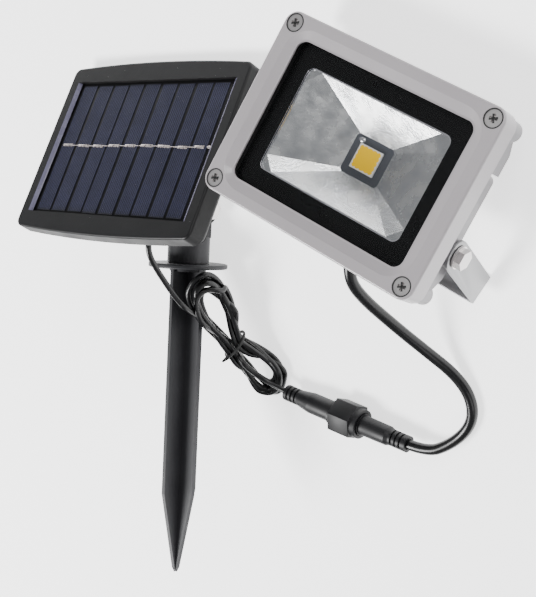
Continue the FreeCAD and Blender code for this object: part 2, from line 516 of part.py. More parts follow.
def make_hinge():
    """Saddle on the panel's back, with two lugs, and the bolt and nut through them."""
    plate_back = HUMP_BACK - 3.0
    y0, y1 = PANEL_PIVOT_Y - 12, PANEL_PIVOT_Y + 12
    saddle = rounded(42, 24, 4, plate_back, HUMP_BACK, PANEL_PIVOT_Y)
    for side in (-1, 1):
        x0 = min(side * LUG_IN, side * (LUG_IN + LUG_T))
        lug = box(x0, x0 + LUG_T, y0 + 4, y1 - 4, PANEL_PIVOT_Z, plate_back + 1)
        eye = rod(V(x0, PANEL_PIVOT_Y, PANEL_PIVOT_Z), X, LUG_R, LUG_T)
        saddle = saddle.fuse(lug).fuse(eye)
        web = Part.makePolygon([V(x0, y0 + 4, plate_back), V(x0, y0, plate_back),
                                V(x0, y0 + 4, plate_back - 8), V(x0, y0 + 4, plate_back)])
        saddle = saddle.fuse(Part.Face(web).extrude(V(LUG_T, 0, 0)))
    saddle = saddle.cut(rod(V(-40, PANEL_PIVOT_Y, PANEL_PIVOT_Z), X, HINGE_R, 80))
    screws = []
    for x, y in hinge_screw_spots():
        saddle = saddle.cut(rod(V(x, y, plate_back - 1), Z, 1.5, 6))
        screws.append(rod(V(x, y, plate_back - 1.6), Z, 2.8, 1.6).fuse(rod(V(x, y, plate_back), Z, 1.5, 5.2)))
    keep("hinge_saddle", saddle.removeSplitter())
    keep("hinge_saddle_screws", *screws)
    outer = LUG_IN + LUG_T
    axis = V(-outer, PANEL_PIVOT_Y, PANEL_PIVOT_Z)
    bolt = rod(axis, X, HINGE_R, 2 * outer + 6.0)
    head = turned([(0, 5.4), (2.2, 5.4), (3.4, 4.0)], axis, X * -1)
    bolt = bolt.fuse(head)
    keep("hinge_bolt", bolt)
    nut_face = axis + X * (2 * outer)
    keep("hinge_nut", hexagon(10.0, nut_face, X, 4.6).cut(rod(nut_face, X, HINGE_R, 5)))


# ---- stake ----------------------------------------------------------------------------------
def make_tilt_head():
    """The tongue between the lugs and the tube that the stake turns in."""
    half = LUG_IN - GAP
    tube_end = FLANGE_Y + FLANGE_T / 2 + GAP
    tongue = rod(V(-half, 0, 0), X, LUG_R - 0.5, 2 * half)
    neck = box(-half, half, TUBE_TOP - 1, 0, -LUG_R + 0.5, LUG_R - 0.5)
    tube = rod(V(0, TUBE_TOP, 0), -Y, TUBE_R, TUBE_TOP - tube_end)
    tube = tube.makeFillet(1.6, [e for e in tube.Edges if abs(e.BoundBox.YMax - TUBE_TOP) < 0.01
                                 and abs(e.BoundBox.YMin - TUBE_TOP) < 0.01])
    head = tongue.fuse(neck).fuse(tube)
    head = head.cut(rod(V(-20, 0, 0), X, HINGE_R + FIT, 40))
    head = head.cut(rod(V(0, tube_end - 1, 0), Y, TUBE_BORE, SPIGOT_L + 1.6))
    keep("tilt_head", head.removeSplitter())


def blade_outline(width):
    """One flat blade: parallel sides, then a taper to a blunt point, in the x-y plane."""
    top = FLANGE_Y
    shoulder, tip = top - SPIKE_LEN * SHOULDER, top - SPIKE_LEN
    half = width / 2
    points = [V(-half, top, 0), V(half, top, 0), V(half, shoulder, 0), V(TIP_W / 2, tip + 2.2, 0),
              V(0, tip, 0), V(-TIP_W / 2, tip + 2.2, 0), V(-half, shoulder, 0)]
    return Part.Wire(Part.makePolygon(points + points[:1]))


def make_spike():
    blade = Part.Face(blade_outline(BLADE_W)).extrude(V(0, 0, BLADE_T))
    blade.translate(V(0, 0, -BLADE_T / 2))
    other = blade.copy()
    other.rotate(V(0, 0, 0), Y, 90)
    collar = rod(V(0, FLANGE_Y, 0), -Y, TUBE_BORE + 1.0, 3.0)
    flange = rod(V(0, FLANGE_Y + FLANGE_T / 2, 0), -Y, FLANGE_R, FLANGE_T)
    flange = flange.makeFillet(0.7, [e for e in flange.Edges if e.Length > 2 * math.pi * FLANGE_R - 1])
    spigot = rod(V(0, FLANGE_Y, 0), Y, TUBE_BORE - FIT, SPIGOT_L)
    spike = blade.fuse(other).fuse(collar).fuse(flange).fuse(spigot)
    keep("ground_spike", spike.removeSplitter())


# ---- plug -----------------------------------------------------------------------------------
def make_plug():
    """Two lead ends that push together, and the coupling nut that locks them."""
    axis = V(PLUG_TO - PLUG_FROM).normalize()
    length = (PLUG_TO - PLUG_FROM).Length
    socket = turned([(0, 4.2), (9.0, 4.2), (11.5, 4.6), (17.0, 5.45), (31.0, 5.45), (31.0, 6.4),
                     (33.0, 6.4), (33.0, 5.2), (46.0, 5.2)], PLUG_FROM, axis)
    for k in range(3):
        groove = rod(PLUG_FROM + axis * (2.0 + 2.6 * k), axis, 6.0, 1.1)
        socket = socket.cut(groove.cut(rod(PLUG_FROM, axis, 3.3, 12)))
    cavity = rod(PLUG_FROM + axis * 36.0, axis, 3.6, 11)
    bore = rod(PLUG_FROM - axis, axis, LEAD_R, 9)
    keep("socket_half", socket.cut(cavity).cut(bore))
    plug = turned([(36.2, 3.5), (47.0, 3.5), (47.0, 5.9), (50.6, 5.9), (50.6, 5.15), (66.0, 4.95),
                   (68.0, 4.2), (length, 4.2)], PLUG_FROM, axis)
    for k in range(3):
        groove = rod(PLUG_FROM + axis * (length - 9.0 + 2.6 * k), axis, 6.0, 1.1)
        plug = plug.cut(groove.cut(rod(PLUG_FROM, axis, 3.3, length + 1)))
    pin_holes = [rod(PLUG_FROM + axis * 36.0 + Z * s * 1.4, axis, 0.5, 5) for s in (-1, 1)]
    for hole in pin_holes:
        plug = plug.cut(hole)
    keep("plug_half", plug.cut(rod(PLUG_TO + axis, axis * -1, CABLE_R, 10)))
    keep("contact_pins", *pin_holes)
    seal = rod(PLUG_FROM + axis * 46.0, axis, 5.2, 1.0)
    keep("plug_seal", seal.cut(rod(PLUG_FROM + axis * 45.0, axis, 3.5, 3)))
    nut = hexagon(16.6, PLUG_FROM + axis * 33.6, axis, 13.0)
    skirt = rod(PLUG_FROM + axis * 33.2, axis, 7.6, 16.6)
    hollow = rod(PLUG_FROM + axis * 33.0, axis, 5.2 + FIT, 13.4)
    hollow = hollow.fuse(rod(PLUG_FROM + axis * 46.2, axis, 5.9 + FIT, 4))
    keep("coupling_nut", nut.fuse(skirt).cut(hollow))


# ---- leads ----------------------------------------------------------------------------------
def lamp_place():
    turn = FreeCAD.Rotation(Z, LAMP_YAW).multiply(FreeCAD.Rotation(X, LAMP_TILT))
    return FreeCAD.Placement(V(0, 0, LAMP_Z), turn)


def panel_place():
    return FreeCAD.Placement(PANEL_AT, FreeCAD.Rotation(X, PANEL_TILT))


def stake_place():
    hinge = FreeCAD.Placement(V(0, PANEL_PIVOT_Y, PANEL_PIVOT_Z), FreeCAD.Rotation(X, STAKE_LEAN))
    return panel_place().multiply(hinge)


def make_leads():
    tip = lamp_place().multVec(V(GLAND_X, BOX_LOW - 11.0, GLAND_Z))
    route = [tip] + [V(*p) for p in CABLE_ROUTE] + [PLUG_TO]
    keep("lamp_cable", cord("lamp_cable", route, CABLE_R))
    exit_point = panel_place().multVec(V(LEAD_X, HUMP_LOW - 9.0, LEAD_Z))
    lead = [exit_point] + [V(*p) for p in LEAD_ROUTE]
    keep("panel_lead", cord("panel_lead", lead, LEAD_R))
    tail = [V(*p) for p in TAIL_ROUTE] + [PLUG_FROM]
    keep("plug_lead", cord("plug_lead", tail, LEAD_R))


def hank_section(left, right, along, half_t):
    """One oval section of the hank, between its two edges and square to its length."""
    mid = (left + right) * 0.5
    across = (right - left) * 0.5
    normal = along.cross(across).normalize()
    points = []
    for k in range(12):
        angle = 2 * math.pi * k / 12
        points.append(mid + across * math.cos(angle) + normal * (half_t * math.sin(angle)))
    return Part.makePolygon(points + points[:1])


def make_hank():
    edges = [(V(*a), V(*b)) for a, b in HANK_EDGES]
    mids = [(a + b) * 0.5 for a, b in edges]
    wires = []
    for k, (left, right) in enumerate(edges):
        along = mids[min(k + 1, len(mids) - 1)] - mids[max(k - 1, 0)]
        wires.append(hank_section(left, right, along, HANK_HALF_T[k]))
    hank = Part.makeLoft(wires, True, True)
    keep("cord_hank", hank)
    left, right = edges[TIE_AT]
    along = (mids[TIE_AT + 1] - mids[TIE_AT - 1]).normalize()
    grow = (right - left).normalize() * (TIE_T + 1.0)
    ends = [hank_section(left - grow + along * s, right + grow + along * s, along,
                         HANK_HALF_T[TIE_AT] + TIE_T) for s in (-TIE_W / 2, TIE_W / 2)]
    keep("cord_tie", Part.makeLoft(ends, True, True).cut(hank))


# ---- assembly -------------------------------------------------------------------------------
def build(makers, placement):
    """Runs some makers and lays what they made in its place on the table."""
    before = set(PARTS)
    for maker in makers:
        maker()
    for name in set(PARTS) - before:
        PARTS[name].Placement = placement.multiply(PARTS[name].Placement)


def show_mounts():
    """Prints the places and directions that the joints and mounts need."""
    lamp, stake = lamp_place(), stake_place()
    lean = FreeCAD.Placement(V(0, PIVOT_Y, PIVOT_Z), FreeCAD.Rotation(X, -BRACKET_LEAN))
    bracket = lamp.multiply(lean)
    spots = {"bracket pivot": lamp.multVec(V(0, PIVOT_Y, PIVOT_Z)),
             "crossbar back": bracket.multVec(V(0, 0, -BRACKET_REACH)),
             "side hole": bracket.multVec(V(SIDE_HOLE_X, 0, -BRACKET_REACH)),
             "hinge": stake.multVec(V(0, 0, 0)), "flange": stake.multVec(V(0, FLANGE_Y, 0)),
             "stake tip": stake.multVec(V(0, FLANGE_Y - SPIKE_LEN, 0)),
             "nut": PLUG_FROM + (PLUG_TO - PLUG_FROM).normalize() * 40.0}
    for name, spot in spots.items():
        print(name, [round(c, 3) for c in spot + TABLE])
    ways = {"lamp x": lamp.Rotation.multVec(X), "crossbar normal": bracket.Rotation.multVec(Z * -1),
            "stake": stake.Rotation.multVec(Y * -1), "plug": (PLUG_TO - PLUG_FROM).normalize()}
    for name, way in ways.items():
        print(name, [round(c, 5) for c in way])


def main():
    build([make_lamp_front, make_light_source, make_lamp_body, make_driver_box, make_gland,
           make_bracket], lamp_place())
    build([make_panel_front, make_panel_back, make_panel_inside, make_hinge], panel_place())
    build([make_tilt_head, make_spike], stake_place())
    build([make_plug, make_leads, make_hank], FreeCAD.Placement())
    os.makedirs("parts", exist_ok=True)
    for name, shape in sorted(PARTS.items()):
        shape.translate(TABLE)
        bad = "" if shape.isValid() else "INVALID"
        print(name, "solids", len(shape.Solids), "volume %.0f" % shape.Volume, bad)
        shape.exportStep("parts/%s.step" % name)
    show_mounts()


main()
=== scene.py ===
"""Looks of the solar flood light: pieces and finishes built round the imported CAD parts."""

import json
import math
import random

import bmesh
import bpy
import numpy as np
from mathutils import Matrix, Vector

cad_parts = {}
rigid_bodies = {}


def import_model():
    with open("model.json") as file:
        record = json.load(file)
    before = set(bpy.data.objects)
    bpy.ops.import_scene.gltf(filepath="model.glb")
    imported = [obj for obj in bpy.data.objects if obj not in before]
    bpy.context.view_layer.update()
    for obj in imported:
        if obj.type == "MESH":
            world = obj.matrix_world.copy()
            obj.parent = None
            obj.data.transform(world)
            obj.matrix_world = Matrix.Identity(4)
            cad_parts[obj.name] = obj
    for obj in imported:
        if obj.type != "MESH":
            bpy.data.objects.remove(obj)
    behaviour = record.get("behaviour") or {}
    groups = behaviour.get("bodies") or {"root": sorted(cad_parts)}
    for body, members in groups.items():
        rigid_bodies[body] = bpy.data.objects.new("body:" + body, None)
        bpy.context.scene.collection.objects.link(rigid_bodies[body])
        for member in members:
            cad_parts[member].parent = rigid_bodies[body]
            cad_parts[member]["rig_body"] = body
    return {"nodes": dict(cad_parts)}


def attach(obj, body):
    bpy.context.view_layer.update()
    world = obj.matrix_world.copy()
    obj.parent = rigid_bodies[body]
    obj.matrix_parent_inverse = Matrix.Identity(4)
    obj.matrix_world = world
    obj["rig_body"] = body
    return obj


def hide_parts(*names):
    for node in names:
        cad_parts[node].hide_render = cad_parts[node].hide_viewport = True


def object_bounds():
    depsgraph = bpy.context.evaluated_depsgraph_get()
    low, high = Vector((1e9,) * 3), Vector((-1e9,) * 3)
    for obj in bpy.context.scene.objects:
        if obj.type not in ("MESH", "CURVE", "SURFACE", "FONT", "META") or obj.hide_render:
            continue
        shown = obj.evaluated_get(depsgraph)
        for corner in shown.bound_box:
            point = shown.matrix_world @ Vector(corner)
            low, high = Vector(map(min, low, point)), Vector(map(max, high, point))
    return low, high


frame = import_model()
cad_low, cad_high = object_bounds()

MM = 0.001
TABLE = Vector((75.72, 86.71, -0.05)) * MM     # from the middle of the set to under the lamp's face
LAMP_BODY = "lamp_and_panel"                   # the cords and the lamp's and panel's pieces ride on it
FRAME_SCREWS = [(51.4, 37.2), (-51.4, 37.2), (51.4, -37.2), (-51.4, -37.2)]
SHADE_RING_LIFT = -0.02                              # the painted shade ring round a screw, dark for the shadowed gap, against the frame's face
RECESS_TURN, RECESS_Z = 0.5, -0.17             # how the dark crosses in the screw heads lie, painted shade of their cross recesses
GLASS_MID, BOARD_MID = 4.0 * MM, 3.0 * MM      # from a plate's middle to the front it lies behind


# ---- places ---------------------------------------------------------------------------------
def plate_place(node, depth):
    """The frame of a flat CAD plate: x along it, z out of it, depth in front of its middle."""
    points = np.array([v.co for v in frame["nodes"][node].data.vertices])
    axes = np.linalg.svd(points - points.mean(0), full_matrices=False)[2]
    x, z = Vector(axes[0]), Vector(axes[2])
    x, z = x * math.copysign(1, x.x), z * math.copysign(1, z.z)
    y = z.cross(x)
    spans = [(points @ np.array(a)) for a in (x, y, z)]
    middle = [(s.min() + s.max()) / 2 for s in spans]
    centre = x * middle[0] + y * middle[1] + z * (middle[2] + depth)
    turn = Matrix((x, y, z)).transposed().to_4x4()
    return Matrix.Translation(centre) @ turn


LAMP = plate_place("lamp_glass", GLASS_MID)
PANEL = plate_place("cell_board", BOARD_MID)


def laid(x, y, z):
    """A point given in millimetres from under the lamp's face."""
    return Vector((x, y, z)) * MM + TABLE


def on(place, x, y, z):
    """A point given in millimetres in the lamp's or the panel's own frame."""
    return place @ (Vector((x, y, z)) * MM)


# ---- pieces ---------------------------------------------------------------------------------
def piece(name, bm, body, material, place=None, stands_for=(), sharp=28):
    """Files a bmesh as a finished piece that rides on a body."""
    if place is not None:
        bm.transform(place)
    mesh = bpy.data.meshes.new(name)
    bm.to_mesh(mesh)
    bm.free()
    mesh.shade_smooth()
    mesh.set_sharp_from_angle(angle=math.radians(sharp))
    for one in material if isinstance(material, list) else [material]:
        mesh.materials.append(one)
    obj = bpy.data.objects.new(name, mesh)
    bpy.context.scene.collection.objects.link(obj)
    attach(obj, body)
    if stands_for:
        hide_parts(*stands_for)
    return obj


def add_block(bm, size, centre, turn=0.0, round_by=0.0, segments=2):
    """A block in millimetres, its edges rounded, turned about z. Returns its vertices."""
    verts = bmesh.ops.create_cube(bm, size=1.0)["verts"]
    bmesh.ops.scale(bm, vec=Vector(size) * MM, verts=verts)
    if round_by:
        edges = list({e for v in verts for e in v.link_edges})
        made = bmesh.ops.bevel(bm, geom=edges, offset=round_by * MM, offset_type="OFFSET",
                               affect="EDGES", segments=segments, profile=0.5, material=-1)
        verts = list({v for f in made["faces"] for v in f.verts} | {v for v in verts if v.is_valid})
    bmesh.ops.rotate(bm, cent=(0, 0, 0), matrix=Matrix.Rotation(turn, 3, "Z"), verts=verts)
    bmesh.ops.translate(bm, vec=Vector(centre) * MM, verts=verts)
    return verts


def rounded_loop(bm, width, height, radius, z, segments=40):
    """A closed round-cornered outline, in millimetres. Returns its edges."""
    verts = bmesh.ops.create_circle(bm, cap_ends=False, radius=radius * MM, segments=segments)["verts"]
    bmesh.ops.rotate(bm, cent=(0, 0, 0), matrix=Matrix.Rotation(math.pi / segments, 3, "Z"), verts=verts)
    for v in verts:
        v.co.x += math.copysign((width / 2 - radius) * MM, v.co.x)
        v.co.y += math.copysign((height / 2 - radius) * MM, v.co.y)
        v.co.z = z * MM
    return list({e for v in verts for e in v.link_edges})


def add_ring(bm, outlines):
    """A closed ring drawn out from one round-cornered outline to the next and back to the first."""
    edges = rounded_loop(bm, *outlines[0])
    for old, new in zip(outlines, outlines[1:] + outlines[:1]):
        made = bmesh.ops.extrude_edge_only(bm, edges=edges)["geom"]
        verts = {g for g in made if isinstance(g, bmesh.types.BMVert)}
        edges = [e for e in bm.edges if e.verts[0] in verts and e.verts[1] in verts]
        for v in verts:
            for axis in (0, 1):
                corner = math.copysign(old[axis] / 2 - old[2], v.co[axis]) * MM
                moved = math.copysign(new[axis] / 2 - new[2], v.co[axis]) * MM
                v.co[axis] = moved + (v.co[axis] - corner) * new[2] / old[2]
            v.co.z = new[3] * MM
    bmesh.ops.remove_doubles(bm, verts=bm.verts, dist=1e-7)
    bmesh.ops.recalc_face_normals(bm, faces=bm.faces)


def add_hoop(bm, radius, wire, centre=(0, 0, 0), steps=48):
    """A round wire hoop in millimetres, lying flat. Returns its vertices."""
    before = set(bm.verts)
    verts = bmesh.ops.create_circle(bm, cap_ends=False, radius=wire * MM, segments=10)["verts"]
    bmesh.ops.rotate(bm, cent=(0, 0, 0), matrix=Matrix.Rotation(math.pi / 2, 3, "X"), verts=verts)
    bmesh.ops.translate(bm, vec=(radius * MM, 0, 0), verts=verts)
    edges = list({e for v in verts for e in v.link_edges})
    bmesh.ops.spin(bm, geom=edges, cent=(0, 0, 0), axis=(0, 0, 1), angle=2 * math.pi, steps=steps,
                   use_merge=True, use_duplicate=False)
    made = [v for v in bm.verts if v not in before]
    bmesh.ops.recalc_face_normals(bm, faces=list({f for v in made for f in v.link_faces}))
    bmesh.ops.translate(bm, vec=Vector(centre) * MM, verts=made)
    return made


def rounded_copy(node, material, width=0.25, segments=2, angle=30, sharp=40):
    """A CAD part's copy with its hard edges rounded, which stands for it."""
    bm = bmesh.new()
    bm.from_mesh(frame["nodes"][node].data)
    bmesh.ops.remove_doubles(bm, verts=bm.verts, dist=1e-6)
    bmesh.ops.dissolve_limit(bm, angle_limit=math.radians(0.8), verts=bm.verts, edges=bm.edges)
    hard = [e for e in bm.edges if len(e.link_faces) == 2 and e.calc_face_angle() > math.radians(angle)]
    bmesh.ops.bevel(bm, geom=hard, offset=width * MM, offset_type="OFFSET", affect="EDGES",
                    segments=segments, profile=0.5, material=-1)
    bmesh.ops.recalc_face_normals(bm, faces=bm.faces)
    body = frame["nodes"][node]["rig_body"]
    return piece(node + "_finished", bm, body, material, stands_for=(node,), sharp=sharp)


# ---- shader groups --------------------------------------------------------------------------
def new_group(name, inputs, outputs):
    group = bpy.data.node_groups.new(name, "ShaderNodeTree")
    for label, kind, value in inputs:
        socket = group.interface.new_socket(name=label, in_out="INPUT", socket_type=kind)
        socket.default_value = value
    for label, kind in outputs:
        group.interface.new_socket(name=label, in_out="OUTPUT", socket_type=kind)
    return group, group.nodes.new("NodeGroupInput"), group.nodes.new("NodeGroupOutput")


def add(tree, kind, **settings):
    node = tree.nodes.new(kind)
    for key, value in settings.items():
        setattr(node, key, value)
    return node


def make_tone_group():
    """Slow change of colour and gloss over a surface."""
    floats = "NodeSocketFloat"
    group, inp, out = new_group(
        "slow_tone", [("Vector", "NodeSocketVector", (0, 0, 0)), ("Light", "NodeSocketColor", (1, 1, 1, 1)),
                      ("Dark", "NodeSocketColor", (0, 0, 0, 1)), ("Scale", floats, 40.0),
                      ("Gloss low", floats, 0.3), ("Gloss high", floats, 0.5)],
        [("Color", "NodeSocketColor"), ("Roughness", floats)])
    noise = add(group, "ShaderNodeTexNoise")
    noise.inputs["Detail"].default_value = 5.0
    mix = add(group, "ShaderNodeMix", data_type="RGBA")
    span = add(group, "ShaderNodeMapRange")
    link = group.links.new
    link(inp.outputs["Vector"], noise.inputs["Vector"])
    link(inp.outputs["Scale"], noise.inputs["Scale"])
    link(noise.outputs["Fac"], mix.inputs["Factor"])
    link(inp.outputs["Dark"], mix.inputs[6])
    link(inp.outputs["Light"], mix.inputs[7])
    link(noise.outputs["Fac"], span.inputs["Value"])
    span.inputs["From Min"].default_value, span.inputs["From Max"].default_value = 0.3, 0.7
    link(inp.outputs["Gloss low"], span.inputs["To Min"])
    link(inp.outputs["Gloss high"], span.inputs["To Max"])
    link(mix.outputs[2], out.inputs["Color"])
    link(span.outputs["Result"], out.inputs["Roughness"])
    return group


def make_grain_group():
    """Fine moulded grain as a height, from two sizes of noise."""
    floats = "NodeSocketFloat"
    group, inp, out = new_group(
        "fine_grain", [("Vector", "NodeSocketVector", (0, 0, 0)), ("Scale", floats, 900.0),
                       ("Coarse share", floats, 0.4)], [("Height", floats)])
    fine, coarse = add(group, "ShaderNodeTexNoise"), add(group, "ShaderNodeTexNoise")
    ratio = add(group, "ShaderNodeMath", operation="MULTIPLY")
    ratio.inputs[1].default_value = 0.22
    mix = add(group, "ShaderNodeMix", data_type="FLOAT")
    link = group.links.new
    for noise in (fine, coarse):
        noise.inputs["Detail"].default_value = 3.0
        link(inp.outputs["Vector"], noise.inputs["Vector"])
    link(inp.outputs["Scale"], fine.inputs["Scale"])
    link(inp.outputs["Scale"], ratio.inputs[0])
    link(ratio.outputs[0], coarse.inputs["Scale"])
    link(inp.outputs["Coarse share"], mix.inputs[0])
    link(fine.outputs["Fac"], mix.inputs[2])
    link(coarse.outputs["Fac"], mix.inputs[3])
    link(mix.outputs[0], out.inputs["Height"])
    return group


def make_speck_group():
    """Sparse pale specks of dust over a surface's own colour."""
    floats = "NodeSocketFloat"
    group, inp, out = new_group(
        "dust_specks", [("Vector", "NodeSocketVector", (0, 0, 0)), ("Color", "NodeSocketColor", (0, 0, 0, 1)),
                        ("Dust", "NodeSocketColor", (0.5, 0.5, 0.5, 1)), ("Scale", floats, 300.0),
                        ("Size", floats, 0.1)], [("Color", "NodeSocketColor")])
    cells = add(group, "ShaderNodeTexVoronoi")
    near = add(group, "ShaderNodeMath", operation="LESS_THAN")
    mix = add(group, "ShaderNodeMix", data_type="RGBA")
    link = group.links.new
    link(inp.outputs["Vector"], cells.inputs["Vector"])
    link(inp.outputs["Scale"], cells.inputs["Scale"])
    link(cells.outputs["Distance"], near.inputs[0])
    link(inp.outputs["Size"], near.inputs[1])
    link(near.outputs[0], mix.inputs["Factor"])
    link(inp.outputs["Color"], mix.inputs[6])
    link(inp.outputs["Dust"], mix.inputs[7])
    link(mix.outputs[2], out.inputs["Color"])
    return group


TONE, GRAIN, SPECKS = make_tone_group(), make_grain_group(), make_speck_group()


def paint(r, g, b):
    """A display colour as the linear one that a shader takes."""
    return tuple(c / 12.92 if c <= 0.04045 else ((c + 0.055) / 1.055) ** 2.4 for c in (r, g, b)) + (1.0,)


def finish(name, light, dark, gloss, tone=40.0, grain=900.0, depth=0.0, coarse=0.4, specks=None, **shader):
    """A material: a slow tone, a fine grain and optional dust over one Principled shader."""
    mat = bpy.data.materials.new(name)
    mat.use_nodes = True
    tree = mat.node_tree
    bsdf = tree.nodes["Principled BSDF"]
    place = add(tree, "ShaderNodeTexCoord")
    shade = add(tree, "ShaderNodeGroup", node_tree=TONE)
    link = tree.links.new
    link(place.outputs["Object"], shade.inputs["Vector"])
    shade.inputs["Light"].default_value, shade.inputs["Dark"].default_value = paint(*light), paint(*dark)
    shade.inputs["Scale"].default_value = tone
    shade.inputs["Gloss low"].default_value, shade.inputs["Gloss high"].default_value = gloss
    colour = shade.outputs["Color"]
    if specks:
        dust = add(tree, "ShaderNodeGroup", node_tree=SPECKS)
        link(place.outputs["Object"], dust.inputs["Vector"])
        link(colour, dust.inputs["Color"])
        dust.inputs["Scale"].default_value, dust.inputs["Size"].default_value = specks
        colour = dust.outputs["Color"]
    link(colour, bsdf.inputs["Base Color"])
    link(shade.outputs["Roughness"], bsdf.inputs["Roughness"])
    if depth:
        height = add(tree, "ShaderNodeGroup", node_tree=GRAIN)
        link(place.outputs["Object"], height.inputs["Vector"])
        height.inputs["Scale"].default_value = grain
        height.inputs["Coarse share"].default_value = coarse
        bump = add(tree, "ShaderNodeBump")
        bump.inputs["Distance"].default_value = depth * MM
        link(height.outputs["Height"], bump.inputs["Height"])
        link(bump.outputs["Normal"], bsdf.inputs["Normal"])
    for key, value in shader.items():
        bsdf.inputs[key.replace("_", " ").title().replace("Ior", "IOR")].default_value = value
    return mat


lamp_paint = finish("lamp_powder_paint", (0.64, 0.62, 0.63), (0.60, 0.58, 0.59), (0.28, 0.40), tone=25,
                    grain=420, depth=0.03, coarse=0.6, coat_weight=0.25)
# Painted shade: a darker copy of the lamp's paint, put on the body and driver box so their side faces read as
# shaded.
lamp_paint_painted_shade = finish("lamp_powder_paint_painted_shade", (0.53, 0.52, 0.53), (0.49, 0.48, 0.49), (0.32, 0.44), tone=25,
                       grain=420, depth=0.03, coarse=0.6, coat_weight=0.2)
black_abs = finish("black_textured_abs", (0.055, 0.055, 0.06), (0.03, 0.03, 0.035), (0.42, 0.55), tone=60,
                   grain=1500, depth=0.05, specks=(260, 0.022), specular_ior_level=0.3)
stake_abs = finish("stake_plastic", (0.20, 0.20, 0.21), (0.14, 0.14, 0.15), (0.42, 0.55), tone=45,
                   grain=700, depth=0.03, specular_ior_level=0.35)
cord_pvc = finish("cord_sheath", (0.04, 0.04, 0.045), (0.02, 0.02, 0.025), (0.22, 0.34), tone=90,
                  grain=1200, depth=0.015, specular_ior_level=0.4)
plug_rubber = finish("plug_rubber", (0.06, 0.06, 0.07), (0.035, 0.035, 0.045), (0.42, 0.55), tone=80,
                     grain=1600, depth=0.03, specular_ior_level=0.35)
# Real dark rubber for the gaskets and the tie, and also the painted shade of the screw rings and crosses on the
# lamp's frame.
seal_rubber = finish("seal_rubber", (0.10, 0.10, 0.10), (0.07, 0.07, 0.07), (0.6, 0.75))
border_print = finish("glass_border_print", (0.03, 0.03, 0.035), (0.02, 0.02, 0.025), (0.25, 0.35),
                      specks=(330, 0.022), specular_ior_level=0.2)
bright_sheet = finish("reflector_sheet", (0.93, 0.93, 0.92), (0.76, 0.77, 0.79), (0.18, 0.32), tone=130,
                      grain=900, depth=0.09, coarse=0.45, metallic=1.0)
rim_metal = finish("reflector_rim", (0.95, 0.95, 0.96), (0.88, 0.88, 0.9), (0.12, 0.2), metallic=1.0)
plate_metal = finish("led_plate_metal", (0.36, 0.37, 0.40), (0.30, 0.31, 0.33), (0.4, 0.5), metallic=0.4)
chip_yellow = finish("phosphor_yellow", (1.0, 0.82, 0.0), (1.0, 0.78, 0.0), (0.5, 0.6), tone=500,
                     grain=2500, depth=0.04, specular_ior_level=0.1)
chip_white = finish("chip_border", (0.93, 0.92, 0.90), (0.85, 0.85, 0.83), (0.4, 0.5))
zinc = finish("zinc_plate", (0.92, 0.90, 0.89), (0.78, 0.77, 0.77), (0.3, 0.42), tone=70, grain=800,
              depth=0.02, metallic=1.0)
strap_metal = finish("strap_steel", (0.62, 0.62, 0.62), (0.52, 0.52, 0.53), (0.26, 0.38), tone=55,
                     grain=650, depth=0.02, metallic=0.85)
cell_blue = finish("cell_silicon", (0.055, 0.06, 0.15), (0.03, 0.033, 0.09), (0.3, 0.4), tone=120,
                   specks=(420, 0.025), coat_weight=0.6, coat_roughness=0.08, specular_ior_level=0.25)
sheet_black = finish("cell_sheet_black", (0.02, 0.02, 0.025), (0.01, 0.01, 0.015), (0.4, 0.5),
                     specular_ior_level=0.2)
finger_ink = finish("cell_finger_ink", (0.25, 0.26, 0.42), (0.12, 0.13, 0.27), (0.35, 0.45), tone=60)
solder = finish("solder_ribbon", (0.92, 0.88, 0.86), (0.70, 0.66, 0.66), (0.2, 0.35), tone=900,
                grain=900, depth=0.06, metallic=0.9)
# Painted reflection: a pale lavender-grey standing for the bright surroundings mirrored in the window's side
# chamfers.
chamfer_painted_reflection = finish("window_chamfer", (0.43, 0.42, 0.50), (0.34, 0.33, 0.41), (0.2, 0.3), tone=150)
board_green = finish("board_green", (0.12, 0.30, 0.18), (0.08, 0.22, 0.12), (0.35, 0.5))
component_grey = finish("component_case", (0.22, 0.22, 0.23), (0.15, 0.15, 0.16), (0.4, 0.55))
battery_wrap = finish("battery_sleeve", (0.18, 0.35, 0.60), (0.14, 0.28, 0.50), (0.25, 0.35))
brass = finish("contact_brass", (0.85, 0.68, 0.38), (0.75, 0.58, 0.30), (0.2, 0.3), metallic=1.0)
clear_glass = finish("lamp_glass_clear", (0.10, 0.11, 0.11), (0.08, 0.09, 0.09), (0.02, 0.04), alpha=0.07,
                     specular_ior_level=0.9)

NODE_FINISH = {
    lamp_paint: ("lamp_front_frame",), lamp_paint_painted_shade: ("lamp_body", "driver_box"),
    black_abs: ("panel_front_frame", "panel_rear_shell", "hinge_saddle", "gland_cap", "gland_body"),
    stake_abs: ("tilt_head", "ground_spike"),
    plug_rubber: ("socket_half", "plug_half", "coupling_nut", "lead_grommet"),
    seal_rubber: ("body_gasket", "glass_gasket", "driver_gasket", "gland_seal", "plug_seal"),
    bright_sheet: ("reflector",), plate_metal: ("led_plate",), clear_glass: ("lamp_glass",),
    chip_yellow: ("led_phosphor",), chip_white: ("led_chip_frame",),
    zinc: ("frame_screws", "led_plate_screws", "driver_screws", "panel_screws", "hinge_saddle_screws",
           "bracket_bolts", "bracket_washers", "hinge_bolt", "hinge_nut"),
    strap_metal: ("bracket",), board_green: ("cell_board", "driver_board", "charge_board"),
    component_grey: ("driver_components", "charge_components"), battery_wrap: ("battery",),
    brass: ("contact_pins",), cord_pvc: ("lamp_cable", "panel_lead", "plug_lead", "cord_hank", "cord_tie"),
    sheet_black: ("cell_cover",), cell_blue: ("solar_cells",)}
for material, names in NODE_FINISH.items():
    for name in names:
        slots = frame["nodes"][name].data.materials
        slots.clear()
        slots.append(material)


